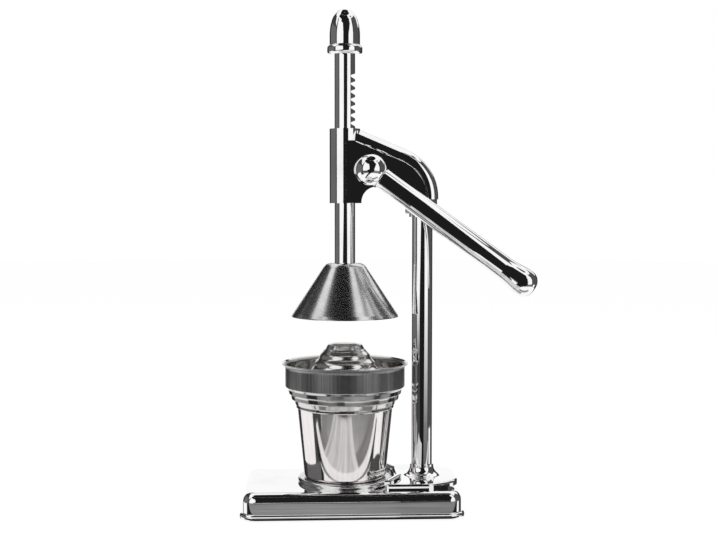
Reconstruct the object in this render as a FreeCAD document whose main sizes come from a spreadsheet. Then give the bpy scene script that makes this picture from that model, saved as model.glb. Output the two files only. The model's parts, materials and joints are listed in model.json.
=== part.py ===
import FreeCAD, Part
import math
import os
import Sketcher
from FreeCAD import Placement, Rotation, Vector

# Lever citrus juice press: a rack rod driven by a pinion presses a cone onto a reamer over a cup.
# X runs from the cup to the post, Y from the front to the back, Z up. Sizes along X are taken from the
# base's centre, and frameX moves the whole press so that the origin lies under the middle of its box.

# Driving dimensions, in millimetres and degrees
SIZES = {
    # fits
    "runFit": 0.05,
    "pressFit": 0.01,
    "looseFit": 0.3,
    "holeFit": 0.3,
    # base pan
    "baseLength": 200,
    "baseWidth": 118,
    "baseTop": 25,
    "baseCorner": 15,
    "panWall": 2,
    "panInset": 3,
    "panRound": 8,
    "beadTop": 7,
    "beadRound": 2.6,
    "footLift": 1,
    # rubber feet
    "footRadius": 9,
    "footInset": 17,
    "footScrewRadius": 2,
    "footScrewHead": 4.2,
    "footRecess": 5.2,
    "footBossRadius": 6,
    # post and foot flange
    "postX": 66,
    "postRadius": 9.5,
    "flangeThick": 5,
    "flangeRight": 97,
    "flangeLeft": 27,
    "flangeHalfWidth": 43,
    "flangeWaist": 70,
    "flangeTail": 27,
    "flangeRound": 2,
    "flangeLug": 12,
    "flangeHeel": 21,
    "flareHeight": 10,
    "flareRadius": 18,
    "fenceHeight": 3.5,
    "fenceThick": 5,
    "fenceRound": 1.6,
    "studRadius": 6,
    "nutFlats": 18,
    "nutThick": 9,
    "washerThick": 2,
    "washerRadius": 15,
    "screwRadius": 2.5,
    "screwHead": 4.6,
    "screwHeadThick": 3,
    "screwBite": 3,
    # cup rest
    "cupX": -5,
    "restRadius": 44,
    "restThick": 4.2,
    "restRound": 1.9,
    "restDish": 0.4,
    "restLand": 34,
    "restScrewCircle": 24,
    # cup
    "cupWall": 1,
    "cupFootRadius": 37.6,
    "cupFootRound": 3,
    "cupTopRadius": 44,
    "cupShoulder": 63.8,
    "cupHeight": 67.3,
    "cupRimRadius": 45.2,
    # strainer bowl
    "bowlWall": 1,
    "bowlLipRadius": 58.2,
    "bowlLip": 134.5,
    "bowlRadius": 54.9,
    "bowlFlareStart": 131,
    "bowlBottom": 113,
    "stepOneRadius": 52.5,
    "stepOne": 110.5,
    "stepTwoRadius": 50.1,
    "stepTwo": 106,
    "stepThreeRadius": 47,
    "stepThree": 100.8,
    "spigotBottom": 88,
    "spigotGap": 1,
    # reamer cone
    "reamerWall": 1,
    "reamerTop": 152.6,
    "reamerNeck": 9.5,
    "reamerWaist": 19.2,
    "reamerWaistZ": 145.6,
    "reamerSlope": 32,
    "reamerDome": 1.6,
    "reamerStepOne": 5,
    "reamerStepTwo": 11.5,
    "reamerSkirt": 46.6,
    "reamerRing": 1.2,
    "strainHoleRadius": 1.6,
    "strainHoleCount": 18,
    "strainRowOne": 38.5,
    "strainRowTwo": 43.2,
    # rack rod
    "rodRadius": 9.5,
    "rodBottom": 226,
    "rodTop": 415,
    "toothModule": 2.25,
    "pressureAngle": 25,
    "pinionTeeth": 13,
    "rackNotches": 14,
    "notchesBelow": 1,
    "pitchLine": 7.5,
    "pinionAddendum": 1.9,
    "rackAddendum": 2,
    "toothClearance": 0.45,
    "backlash": 0.4,
    "spigotRadius": 6,
    "capSpigot": 15,
    # top cap
    "capCollarRadius": 16.2,
    "capCollarTop": 422.8,
    "capRadius": 14,
    "capTop": 455.8,
    "capShoulder": 438,
    # press cone
    "coneWall": 1.8,
    "coneShoulder": 17.2,
    "coneRound": 8,
    "coneSlope": 33.6,
    "coneLip": 177,
    "coneLipRadius": 49,
    "coneLipHeight": 3.4,
    "coneWasherRadius": 12,
    "coneWasherThick": 1.5,
    "coneScrewRadius": 3,
    "coneScrewHead": 6,
    "coneScrewDepth": 14,
    # head casting
    "sleeveRadius": 14.1,
    "sleeveBottom": 280.5,
    "sleeveTop": 348,
    "pinionZ": 310.4,
    "webHalf": 10.8,
    "beadHalf": 12.6,
    "beadWidth": 10.5,
    "beadCurl": 4.4,
    "armTopX": 53.7,
    "armTop": 327.2,
    "armStartX": 9.5,
    "armStart": 346,
    "armRight": 79.6,
    "armBend": 46,
    "webLow": 295.5,
    "webCut": 14,
    "webCutX": 9.6,
    "webHeel": 284,
    "socketRadius": 13.6,
    "socketBottom": 268,
    "socketTop": 292,
    "socketDepth": 28,
    "slotHalf": 6.9,
    "slotReach": 17.2,
    "slotDrop": 60,
    "slotLean": 28,
    "bossRadius": 14.1,
    "bossFace": 16,
    "nubRadius": 3.6,
    "nubZ": 273.5,
    "nubReach": 15.4,
    "grubRadius": 2.5,
    "grubLength": 6,
    # pinion, shaft and hub
    "pinionHalf": 5.5,
    "shaftRadius": 6,
    "bushRadius": 8,
    "bushFlange": 10.5,
    "bushFlangeThick": 1,
    "shaftStudRadius": 4,
    "shaftWasherRadius": 10,
    "shaftWasherThick": 1.6,
    "shaftNutFlats": 13,
    "shaftNutThick": 6.5,
    "shaftNutDome": 4.9,
    "pinRadius": 1.5,
    "ballRadius": 13.9,
    "ballY": 30.6,
    "hubCollarRadius": 8.5,
    "hubPinReach": 9,
    "pinionPinReach": 10,
    "shaftInBall": 4,
    # lever, drawn along its own axis from the ball's centre
    "leverAngle": 36.4,
    "leverStart": 11.3,
    "leverNeck": 9.5,
    "leverEnd": 10.7,
    "leverEndAt": 153,
    "leverBulb": 12.9,
    "leverBulbAt": 167,
    "leverLength": 181.5,
    "leverTipRound": 10,
    "leverFlareRound": 80,
    "leverBulbRound": 40,
    "leverStudRadius": 5,
    "leverStudIn": 7,
    "leverStudOut": 32,
}


# A number together with the sheet expression that gives it
class Size:
    def __init__(self, value, text):
        self.value = float(value)
        self.text = text

    def __add__(self, other):
        other = asSize(other)
        return Size(self.value + other.value, f"({self.text} + {other.text})")

    def __sub__(self, other):
        other = asSize(other)
        return Size(self.value - other.value, f"({self.text} - {other.text})")

    def __mul__(self, other):
        other = asSize(other)
        return Size(self.value * other.value, f"({self.text} * {other.text})")

    def __truediv__(self, other):
        other = asSize(other)
        return Size(self.value / other.value, f"({self.text} / {other.text})")

    def __radd__(self, other):
        return asSize(other) + self

    def __rsub__(self, other):
        return asSize(other) - self

    def __rmul__(self, other):
        return asSize(other) * self

    def __neg__(self):
        return Size(-self.value, f"(-1 * {self.text})")


def asSize(number):
    return number if isinstance(number, Size) else Size(number, f"({float(number)})")


def sine(angle):
    return Size(math.sin(math.radians(angle.value)), f"sin({angle.text})")


def cosine(angle):
    return Size(math.cos(math.radians(angle.value)), f"cos({angle.text})")


def tangent(angle):
    return Size(math.tan(math.radians(angle.value)), f"tan({angle.text})")


# The sheet of driving dimensions, read by name
class Dimensions:
    def __getattr__(self, name):
        return Size(SIZES[name], f"sizes.{name}")


d = Dimensions()
doc = FreeCAD.newDocument("CitrusPress")
sheet = doc.addObject("Spreadsheet::Sheet", "sizes")
for row, (name, number) in enumerate(SIZES.items(), start=1):
    sheet.set(f"A{row}", name)
    sheet.set(f"B{row}", str(number))
    sheet.setAlias(f"B{row}", name)
doc.recompute()

# Sizes worked out from the driving ones
toothPitch = d.toothModule * math.pi
pinionPitchRadius = d.toothModule * d.pinionTeeth / 2
rodX = d.cupX
pinionX = rodX + d.pitchLine + pinionPitchRadius
panBottom = d.footLift
flangeTop = d.baseTop + d.flangeThick
restTop = d.baseTop + d.restThick
cupBottom = restTop
panUnder = d.baseTop - d.panWall
coneThroat = d.rodBottom - d.coneWall
hubPinLean = 90 - d.leverAngle

# The press spans from the base's end to the handle's tip: half of the difference moves the frame
tipReach = (d.leverLength - d.leverTipRound) * cosine(d.leverAngle)
tipSwell = (d.leverBulb - d.leverTipRound) * sine(d.leverAngle) + d.leverTipRound
frameX = (pinionX + tipReach + tipSwell - d.baseLength / 2) / 2

parts = []


# Bind one property of a feature to the sheet
def bind(feature, prop, size):
    if isinstance(size, Size):
        feature.setExpression(prop, size.text)
    else:
        setattr(feature, prop, size)


# Start a sub-part: a body with its own label and placement
def newBody(label, x=0, y=0, z=0, turn=None):
    body = doc.addObject("PartDesign::Body", label)
    body.Label = label
    body.Placement = Placement(Vector(0, 0, 0), turn or Rotation())
    for axis, size in (("x", x - frameX), ("y", y), ("z", z)):
        body.setExpression(f".Placement.Base.{axis}", asSize(size).text)
    parts.append(body)
    return body


# A sub-part of several separate solids
def newGroup(label, solids):
    group = doc.addObject("Part::Compound", label)
    group.Label = label
    group.Links = solids
    group.setExpression(".Placement.Base.x", (-frameX).text)
    parts.append(group)


def originPlane(body, role):
    return [f for f in body.Origin.OriginFeatures if f.Role == role][0]


# A sketch on one of the body's own origin planes, moved along the plane's normal
def newSketch(body, role, offset=0, lean=0):
    sketch = body.newObject("Sketcher::SketchObject", "Sketch")
    sketch.AttachmentSupport = [(originPlane(body, role), "")]
    sketch.MapMode = "FlatFace"
    turn = Rotation(Vector(0, 1, 0), asSize(lean).value)
    sketch.AttachmentOffset = Placement(turn.multVec(Vector(0, 0, asSize(offset).value)), turn)
    if not asSize(lean).value:
        sketch.setExpression(".AttachmentOffset.Base.z", asSize(offset).text)
    return sketch


# Hold one point of a sketch at its place, on an axis or by sizes from the sheet
def holdPoint(sketch, geometry, end, x, y):
    for kind, axis, size in (("DistanceX", -2, x), ("DistanceY", -1, y)):
        size = asSize(size)
        if abs(size.value) < 1e-9:
            sketch.addConstraint(Sketcher.Constraint("PointOnObject", geometry, end, axis))
        else:
            index = sketch.addConstraint(Sketcher.Constraint(kind, -1, 1, geometry, end, size.value))
            sketch.setExpression(f"Constraints[{index}]", size.text)


def holdRadius(sketch, geometry, radius):
    radius = asSize(radius)
    index = sketch.addConstraint(Sketcher.Constraint("Radius", geometry, radius.value))
    sketch.setExpression(f"Constraints[{index}]", radius.text)


def circle(sketch, x, y, radius):
    centre = Vector(asSize(x).value, asSize(y).value, 0)
    index = sketch.addGeometry(Part.Circle(centre, Vector(0, 0, 1), asSize(radius).value))
    holdPoint(sketch, index, 3, x, y)
    holdRadius(sketch, index, radius)


# A closed outline through corners (x, y) or (x, y, radius), the rounded ones as tangent arcs
def outline(sketch, corners):
    corners = [tuple(asSize(c) for c in corner) for corner in corners]
    places = [Vector(c[0].value, c[1].value, 0) for c in corners]
    count = len(corners)
    leave = []
    arrive = []
    arcs = {}
    for i, corner in enumerate(corners):
        here = places[i]
        back = (places[i - 1] - here).normalize()
        ahead = (places[(i + 1) % count] - here).normalize()
        if len(corner) == 2:
            arrive.append(here)
            leave.append(here)
            continue
        half = back.getAngle(ahead) / 2
        reach = corner[2].value / math.tan(half)
        arrive.append(here + back * reach)
        leave.append(here + ahead * reach)
        middle = (back + ahead).normalize() * (corner[2].value / math.sin(half))
        arcs[i] = (here + middle, back.cross(ahead).z < 0)
    lines = []
    for i in range(count):
        lines.append(sketch.addGeometry(Part.LineSegment(leave[i], arrive[(i + 1) % count])))
    for i, corner in enumerate(corners):
        before = lines[i - 1]
        after = lines[i]
        if i not in arcs:
            sketch.addConstraint(Sketcher.Constraint("Coincident", before, 2, after, 1))
            holdPoint(sketch, after, 1, corner[0], corner[1])
            continue
        centre, left = arcs[i]
        first, last = (arrive[i], leave[i]) if left else (leave[i], arrive[i])
        angles = [math.atan2(p.y - centre.y, p.x - centre.x) for p in (first, last)]
        round_ = Part.Circle(centre, Vector(0, 0, 1), corner[2].value)
        arc = sketch.addGeometry(Part.ArcOfCircle(round_, angles[0], angles[1]))
        point = sketch.addGeometry(Part.Point(places[i]), True)
        starts = (1, 2) if left else (2, 1)
        sketch.addConstraint(Sketcher.Constraint("Tangent", before, 2, arc, starts[0]))
        sketch.addConstraint(Sketcher.Constraint("Tangent", arc, starts[1], after, 1))
        sketch.addConstraint(Sketcher.Constraint("PointOnObject", point, 1, before))
        sketch.addConstraint(Sketcher.Constraint("PointOnObject", point, 1, after))
        holdRadius(sketch, arc, corner[2])
        holdPoint(sketch, point, 1, corner[0], corner[1])


# A rectangle with rounded corners about (x, y)
def roundedRectangle(sketch, length, width, corner, x=0, y=0):
    left = asSize(x) - length / 2
    right = asSize(x) + length / 2
    low = asSize(y) - width / 2
    high = asSize(y) + width / 2
    ends = [(left, low), (right, low), (right, high), (left, high)]
    outline(sketch, [(px, py, corner) for px, py in ends])


def hexagon(sketch, flats, x=0, y=0):
    corner = flats * (1 / math.sqrt(3))
    half = flats / 2
    across = [(corner, 0), (corner / 2, half), (-corner / 2, half)]
    across += [(-corner, 0), (-corner / 2, -half), (corner / 2, -half)]
    outline(sketch, [(x + px, y + py) for px, py in across])


# Grow a sketch; both ways about its plane when both is true
def pad(body, sketch, length, both=False, flip=False):
    feature = body.newObject("PartDesign::Pad", "Pad")
    feature.Profile = sketch
    bind(feature, "Length", asSize(length))
    feature.Midplane = both
    feature.Reversed = flip
    body.Tip = feature
    return feature


# Cut a sketch; a cut that removes nothing is an error
def pocket(body, sketch, length, both=False, flip=False):
    doc.recompute()
    before = body.Shape.Volume
    feature = body.newObject("PartDesign::Pocket", "Pocket")
    feature.Profile = sketch
    bind(feature, "Length", asSize(length))
    feature.Midplane = both
    feature.Reversed = flip
    body.Tip = feature
    doc.recompute()
    if body.Shape.Volume > before - 1e-3:
        raise RuntimeError(f"a pocket in {body.Label} cuts nothing")
    return feature


def revolve(body, sketch):
    feature = body.newObject("PartDesign::Revolution", "Revolution")
    feature.Profile = sketch
    feature.ReferenceAxis = (sketch, ["V_Axis"])
    feature.Angle = 360
    body.Tip = feature
    return feature


# A turned sub-part whose section is an outline of (radius, height) corners
def turned(label, corners, x=0, y=0, z=0, turn=None):
    body = newBody(label, x, y, z, turn)
    sketch = newSketch(body, "XZ_Plane")
    outline(sketch, corners)
    revolve(body, sketch)
    return body


# Round the edges of the tip that a test on the edge picks out
def roundEdges(body, radius, wanted):
    doc.recompute()
    base = body.Tip
    names = [f"Edge{i}" for i, e in enumerate(base.Shape.Edges, start=1) if wanted(e)]
    if not names:
        raise RuntimeError(f"no edge to round in {body.Label}")
    feature = body.newObject("PartDesign::Fillet", "Fillet")
    feature.Base = (base, names)
    bind(feature, "Radius", asSize(radius))
    body.Tip = feature
    return feature


def onHeight(edge, z):
    return all(abs(v.Z - asSize(z).value) < 1e-4 for v in edge.Vertexes)


# Repeat a feature about the body's upright axis or along a sketch's axis
def polarPattern(body, feature, count, sketch):
    pattern = body.newObject("PartDesign::PolarPattern", "PolarPattern")
    pattern.Originals = [feature]
    pattern.Axis = (sketch, ["N_Axis"])
    pattern.Angle = 360
    bind(pattern, "Occurrences", asSize(count))
    body.Tip = pattern
    return pattern


# Screws stand head down under what they hold: places are (x, y) of each one
def screwGroup(label, places, z, shank, head, headThick, bite, socket):
    solids = []
    for i, (x, y) in enumerate(places):
        stem = doc.addObject("Part::Cylinder", f"{label}Stem{i}")
        bind(stem, "Radius", shank)
        bind(stem, "Height", bite)
        cap = doc.addObject("Part::Cylinder", f"{label}Head{i}")
        bind(cap, "Radius", head)
        bind(cap, "Height", headThick)
        drive = doc.addObject("Part::Prism", f"{label}Drive{i}")
        drive.Polygon = 6
        bind(drive, "Circumradius", shank)
        bind(drive, "Height", socket)
        for piece, level in ((stem, z), (cap, z - headThick), (drive, z - headThick)):
            for axis, size in (("x", x), ("y", y), ("z", level)):
                piece.setExpression(f".Placement.Base.{axis}", asSize(size).text)
        whole = doc.addObject("Part::Fuse", f"{label}Whole{i}")
        whole.Base = stem
        whole.Tool = cap
        screw = doc.addObject("Part::Cut", f"{label}Screw{i}")
        screw.Base = whole
        screw.Tool = drive
        solids.append(screw)
    newGroup(label, solids)


# Places of the fasteners and feet, shared by the holes and the pieces that fill them
footPlaces = []
for sideX in (-1, 1):
    for sideY in (-1, 1):
        footX = sideX * (d.baseLength / 2 - d.footInset)
        footPlaces.append((footX, sideY * (d.baseWidth / 2 - d.footInset)))
flangePlaces = [
    (d.flangeWaist - d.flangeLug, -(d.flangeHalfWidth - d.flangeLug)),
    (d.flangeWaist - d.flangeLug, d.flangeHalfWidth - d.flangeLug),
]
restPlaces = []
for turn in (90, 210, 330):
    across = math.cos(math.radians(turn))
    along = math.sin(math.radians(turn))
    restPlaces.append((d.cupX + d.restScrewCircle * across, d.restScrewCircle * along))


def baseShell():
    body = newBody("base_shell")
    wallLength = d.baseLength - 2 * d.panInset
    wallWidth = d.baseWidth - 2 * d.panInset
    wallCorner = d.baseCorner - d.panInset
    plan = newSketch(body, "XY_Plane", panBottom)
    roundedRectangle(plan, wallLength, wallWidth, wallCorner)
    pad(body, plan, d.baseTop - panBottom)
    hollow = newSketch(body, "XY_Plane", panBottom)
    roundedRectangle(hollow, wallLength - 2 * d.panWall, wallWidth - 2 * d.panWall, wallCorner - d.panWall)
    pocket(body, hollow, panUnder - panBottom, flip=True)
    roundEdges(body, d.panRound - d.panWall, lambda e: onHeight(e, panUnder))
    roundEdges(body, d.panRound, lambda e: onHeight(e, d.baseTop))
    # The rolled bead stands out round the foot of the wall
    bead = newSketch(body, "XY_Plane", panBottom)
    roundedRectangle(bead, d.baseLength, d.baseWidth, d.baseCorner)
    inset = d.panInset + d.panWall
    roundedRectangle(bead, d.baseLength - 2 * inset, d.baseWidth - 2 * inset, d.baseCorner - inset)
    pad(body, bead, d.beadTop - panBottom)
    halfLength = d.baseLength.value / 2 - 1e-3
    halfWidth = d.baseWidth.value / 2 - 1e-3

    def outer(edge):
        flat = onHeight(edge, d.beadTop) or onHeight(edge, panBottom)
        return flat and all(abs(v.X) > halfLength or abs(v.Y) > halfWidth for v in edge.Vertexes)

    roundEdges(body, d.beadRound, outer)
    # Bosses under the pan for the feet and for the screws
    bosses = newSketch(body, "XY_Plane", panUnder - d.footRecess)
    for x, y in footPlaces:
        circle(bosses, x, y, d.footBossRadius)
    pad(body, bosses, d.footRecess + d.panWall / 2)
    pilot = newSketch(body, "XY_Plane", panUnder - d.footRecess)
    for x, y in footPlaces:
        circle(pilot, x, y, d.footScrewRadius + d.pressFit)
    pocket(body, pilot, d.footRecess, flip=True)
    holes = newSketch(body, "XY_Plane", d.baseTop)
    circle(holes, d.postX, 0, d.studRadius + d.holeFit)
    for x, y in flangePlaces + restPlaces:
        circle(holes, x, y, d.screwRadius + d.holeFit)
    pocket(body, holes, 2 * d.panWall)


def baseFeet():
    top = panUnder - d.footRecess
    solids = []
    for i, (x, y) in enumerate(footPlaces):
        disc = doc.addObject("Part::Cone", f"FootDisc{i}")
        bind(disc, "Radius1", d.footRadius - 1)
        bind(disc, "Radius2", d.footRadius)
        bind(disc, "Height", top)
        bore = doc.addObject("Part::Cylinder", f"FootBore{i}")
        bind(bore, "Radius", d.footScrewRadius + d.holeFit)
        bind(bore, "Height", top + 1)
        recess = doc.addObject("Part::Cylinder", f"FootRecess{i}")
        bind(recess, "Radius", d.footScrewHead + d.holeFit)
        bind(recess, "Height", d.footRecess + 1)
        for piece, level in ((disc, 0), (bore, -1), (recess, -1)):
            for axis, size in (("x", x), ("y", y), ("z", level)):
                piece.setExpression(f".Placement.Base.{axis}", asSize(size).text)
        drilled = doc.addObject("Part::Cut", f"FootDrilled{i}")
        drilled.Base = disc
        drilled.Tool = bore
        foot = doc.addObject("Part::Cut", f"Foot{i}")
        foot.Base = drilled
        foot.Tool = recess
        solids.append(foot)
    newGroup("base_feet", solids)
    bite = panUnder - d.footRecess - d.footRecess + d.footRecess * 0.8
    screwGroup("foot_screws", footPlaces, d.footRecess, d.footScrewRadius, d.footScrewHead,
               d.screwHeadThick, bite, d.screwHeadThick / 2)


def footFlange():
    body = newBody("foot_flange")
    plan = newSketch(body, "XY_Plane", d.baseTop)
    tail = d.flangeTail
    near = d.restRadius + 2 * d.looseFit
    mouthX = d.cupX + near
    corners = [
        (d.flangeLeft, -d.flangeHalfWidth, 4),
        (d.flangeWaist, -d.flangeHalfWidth, d.flangeLug),
        (d.flangeRight, -tail, d.flangeHeel),
        (d.flangeRight, tail, d.flangeHeel),
        (d.flangeWaist, d.flangeHalfWidth, d.flangeLug),
        (d.flangeLeft, d.flangeHalfWidth, 4),
        (mouthX, d.flangeHalfWidth / 3, 16),
        (mouthX, -d.flangeHalfWidth / 3, 16),
    ]
    outline(plan, corners)
    pad(body, plan, d.flangeThick)
    roundEdges(body, d.flangeRound, lambda e: onHeight(e, flangeTop))
    # A raised rib runs round the cup's side of it, out to both corners
    rib = newSketch(body, "XY_Plane", flangeTop - 1)
    edge = d.flangeRound * 0.8
    far = d.flangeHalfWidth - edge
    bend = d.flangeHalfWidth / 3
    outline(rib, [
        (d.flangeLeft + edge, -far),
        (d.flangeLeft + edge + d.fenceThick, -far),
        (mouthX + edge + d.fenceThick, -bend - 2, 20),
        (mouthX + edge + d.fenceThick, bend + 2, 20),
        (d.flangeLeft + edge + d.fenceThick, far),
        (d.flangeLeft + edge, far),
        (mouthX + edge, bend, 16),
        (mouthX + edge, -bend, 16),
    ])
    pad(body, rib, d.fenceHeight + 1)
    roundEdges(body, d.fenceRound, lambda e: onHeight(e, flangeTop + d.fenceHeight))
    # The flare that grips the foot of the post
    flare = newSketch(body, "XZ_Plane")
    outer = d.postRadius + 1.4
    rise = flangeTop + d.flareHeight
    outline(flare, [
        (d.postX, d.baseTop + 1),
        (d.postX + d.flareRadius + 2, d.baseTop + 1),
        (d.postX + d.flareRadius + 2, flangeTop),
        (d.postX + outer, flangeTop, d.flareHeight * 0.8),
        (d.postX + outer, rise),
        (d.postX, rise),
    ])
    ends = [Vector(d.postX.value, height, 0) for height in (0, 10)]
    axis = flare.addGeometry(Part.LineSegment(*ends), True)
    holdPoint(flare, axis, 1, d.postX, 0)
    holdPoint(flare, axis, 2, d.postX, 10)
    spun = body.newObject("PartDesign::Revolution", "Revolution")
    spun.Profile = flare
    spun.ReferenceAxis = (flare, ["Axis0"])
    spun.Angle = 360
    body.Tip = spun
    bore = newSketch(body, "XY_Plane", rise + 1)
    circle(bore, d.postX, 0, d.postRadius + d.pressFit)
    pocket(body, bore, d.flareHeight + d.flangeThick + 2)
    pilots = newSketch(body, "XY_Plane", d.baseTop)
    for x, y in flangePlaces:
        circle(pilots, x, y, d.screwRadius + d.pressFit)
    pocket(body, pilots, d.screwBite, flip=True)


def post():
    top = d.socketBottom + d.socketDepth - 2 * d.looseFit
    thread = d.baseTop - d.panWall - d.washerThick - d.nutThick - 2
    turned("post", [
        (0, thread),
        (d.studRadius, thread),
        (d.studRadius, d.baseTop),
        (d.postRadius, d.baseTop),
        (d.postRadius, top),
        (0, top),
    ], x=d.postX)
    turned("post_washer", [
        (d.studRadius + d.holeFit, panUnder - d.washerThick),
        (d.washerRadius, panUnder - d.washerThick),
        (d.washerRadius, panUnder),
        (d.studRadius + d.holeFit, panUnder),
    ], x=d.postX)
    body = newBody("post_nut", x=d.postX)
    sketch = newSketch(body, "XY_Plane", panUnder - d.washerThick)
    hexagon(sketch, d.nutFlats)
    circle(sketch, 0, 0, d.studRadius + d.pressFit)
    pad(body, sketch, d.nutThick, flip=True)


def flangeScrews():
    screwGroup("flange_screws", flangePlaces, panUnder, d.screwRadius, d.screwHead,
               d.screwHeadThick, d.panWall + d.screwBite - d.holeFit, d.screwHeadThick / 2)


def cupRest():
    body = turned("cup_rest", [
        (0, d.baseTop),
        (d.restRadius - 1, d.baseTop),
        (d.restRadius, restTop, d.restRound),
        (d.restLand, restTop),
        (d.restLand - 2, restTop - d.restDish),
        (0, restTop - d.restDish),
    ], x=d.cupX)
    pilots = newSketch(body, "XY_Plane", d.baseTop)
    for x, y in restPlaces:
        circle(pilots, x - d.cupX, y, d.screwRadius + d.pressFit)
    pocket(body, pilots, d.screwBite, flip=True)
    screwGroup("rest_screws", restPlaces, panUnder, d.screwRadius, d.screwHead,
               d.screwHeadThick, d.panWall + d.screwBite - d.holeFit, d.screwHeadThick / 2)


def cup():
    wall = d.cupWall
    turned("cup", [
        (0, 0),
        (d.cupFootRadius, 0, d.cupFootRound),
        (d.cupTopRadius, d.cupShoulder),
        (d.cupRimRadius, d.cupShoulder + 0.8, 0.6),
        (d.cupRimRadius, d.cupHeight, 0.8),
        (d.cupTopRadius - wall, d.cupHeight),
        (d.cupTopRadius - wall, d.cupShoulder),
        (d.cupFootRadius - wall, wall, d.cupFootRound - wall),
        (0, wall),
    ], x=d.cupX, z=cupBottom)


def strainerBowl():
    wall = d.bowlWall
    seat = cupBottom + d.cupHeight
    spigot = d.cupTopRadius - d.cupWall - d.spigotGap
    turned("strainer_bowl", [
        (spigot - wall, d.spigotBottom),
        (spigot, d.spigotBottom),
        (spigot, seat),
        (d.stepThreeRadius - 1, seat, 0.5),
        (d.stepThreeRadius, d.stepThree, 0.8),
        (d.stepTwoRadius - 0.6, d.stepThree + 0.8, 0.4),
        (d.stepTwoRadius, d.stepTwo, 0.8),
        (d.stepOneRadius - 0.6, d.stepTwo + 0.8, 0.4),
        (d.stepOneRadius, d.stepOne, 0.8),
        (d.bowlRadius, d.bowlBottom, 1),
        (d.bowlRadius, d.bowlFlareStart, 3),
        (d.bowlLipRadius, d.bowlLip - 0.6),
        (d.bowlLipRadius, d.bowlLip),
        (d.bowlLipRadius - 0.8, d.bowlLip),
        (d.bowlRadius - wall, d.bowlFlareStart + 0.6, 2),
        (d.bowlRadius - wall, d.bowlBottom + 0.6, 1),
        (d.stepOneRadius - wall, d.stepOne + 0.6),
        (d.stepOneRadius - wall, d.stepTwo + 1.8),
        (d.stepTwoRadius - wall, d.stepTwo + 1.8),
        (d.stepTwoRadius - wall, d.stepThree + 1.8),
        (spigot - wall, d.stepThree + 1.8),
    ], x=d.cupX)


# Radius of the reamer's outer face at a height
def reamerRadius(z):
    return d.reamerWaist + (d.reamerWaistZ - z) * tangent(d.reamerSlope)


def reamerCone():
    wall = d.reamerWall
    floor = d.stepThree + 1.8
    skirtTop = floor + wall + 0.8
    ring = d.reamerRing
    edge = d.reamerTop - d.reamerDome
    underTop = edge - wall
    corners = [
        (0, d.reamerTop),
        (d.reamerNeck, d.reamerTop - 0.3, 20),
        (reamerRadius(edge), edge, 0.8),
    ]
    for z in (edge - d.reamerStepOne, edge - d.reamerStepTwo):
        corners.append((reamerRadius(z) - ring, z + ring))
        corners.append((reamerRadius(z), z))
    corners += [
        (reamerRadius(skirtTop), skirtTop),
        (d.reamerSkirt, skirtTop, 0.8),
        (d.reamerSkirt, floor),
        (d.reamerSkirt - wall, floor),
        (reamerRadius(skirtTop) - 1.6 * wall, skirtTop - wall),
        (reamerRadius(underTop) - 1.6 * wall, underTop),
        (0, underTop),
    ]
    body = turned("reamer_cone", corners, x=d.cupX)
    # Two rings of strainer holes low in the cone's wall
    holes = newSketch(body, "XY_Plane", d.reamerTop)
    circle(holes, d.strainRowOne, 0, d.strainHoleRadius)
    half = math.radians(180 / d.strainHoleCount.value)
    circle(holes, d.strainRowTwo * math.cos(half), d.strainRowTwo * math.sin(half), d.strainHoleRadius)
    cut = pocket(body, holes, d.reamerTop - d.stepThree)
    polarPattern(body, cut, d.strainHoleCount, holes)


def rackRod():
    spigotEnd = coneThroat + d.looseFit
    body = turned("rack_rod", [
        (0, spigotEnd),
        (d.spigotRadius, spigotEnd),
        (d.spigotRadius, d.rodBottom),
        (d.rodRadius, d.rodBottom),
        (d.rodRadius, d.rodTop),
        (d.spigotRadius, d.rodTop),
        (d.spigotRadius, d.rodTop + d.capSpigot),
        (0, d.rodTop + d.capSpigot),
    ], x=rodX)
    # One tooth space, centred on the pinion's height, then the row of them
    lowest = d.pinionZ - d.notchesBelow * toothPitch
    lean = tangent(d.pressureAngle)
    depth = d.pitchLine - d.pinionAddendum - d.toothClearance
    mouth = d.rodRadius + 1
    narrow = toothPitch / 4 + (depth - d.pitchLine) * lean
    wide = toothPitch / 4 + (mouth - d.pitchLine) * lean
    notch = newSketch(body, "XZ_Plane")
    outline(notch, [
        (depth, lowest - narrow, 0.3),
        (mouth, lowest - wide),
        (mouth, lowest + wide),
        (depth, lowest + narrow, 0.3),
    ])
    cut = pocket(body, notch, 2 * d.rodRadius + 2, both=True)
    row = body.newObject("PartDesign::LinearPattern", "LinearPattern")
    row.Originals = [cut]
    row.Direction = (notch, ["V_Axis"])
    bind(row, "Length", (d.rackNotches - 1) * toothPitch)
    bind(row, "Occurrences", d.rackNotches)
    body.Tip = row
    # Tapped hole for the screw that holds the cone
    tap = newSketch(body, "XY_Plane", spigotEnd)
    circle(tap, 0, 0, d.coneScrewRadius + d.pressFit)
    pocket(body, tap, d.coneScrewDepth + 3, flip=True)


def topCap():
    body = turned("top_cap", [
        (0, d.rodTop),
        (d.capCollarRadius, d.rodTop, 3),
        (d.capCollarRadius, d.capCollarTop, 3.4),
        (d.capRadius, d.capCollarTop + 0.6, 0.8),
        (d.capRadius, d.capShoulder, 40),
        (d.capRadius * 0.76, d.capTop - 6, 16),
        (d.capRadius * 0.33, d.capTop, 5),
        (0, d.capTop),
    ], x=rodX)
    bore = newSketch(body, "XY_Plane", d.rodTop)
    circle(bore, 0, 0, d.spigotRadius + d.pressFit)
    pocket(body, bore, d.capSpigot + 1, flip=True)


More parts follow.
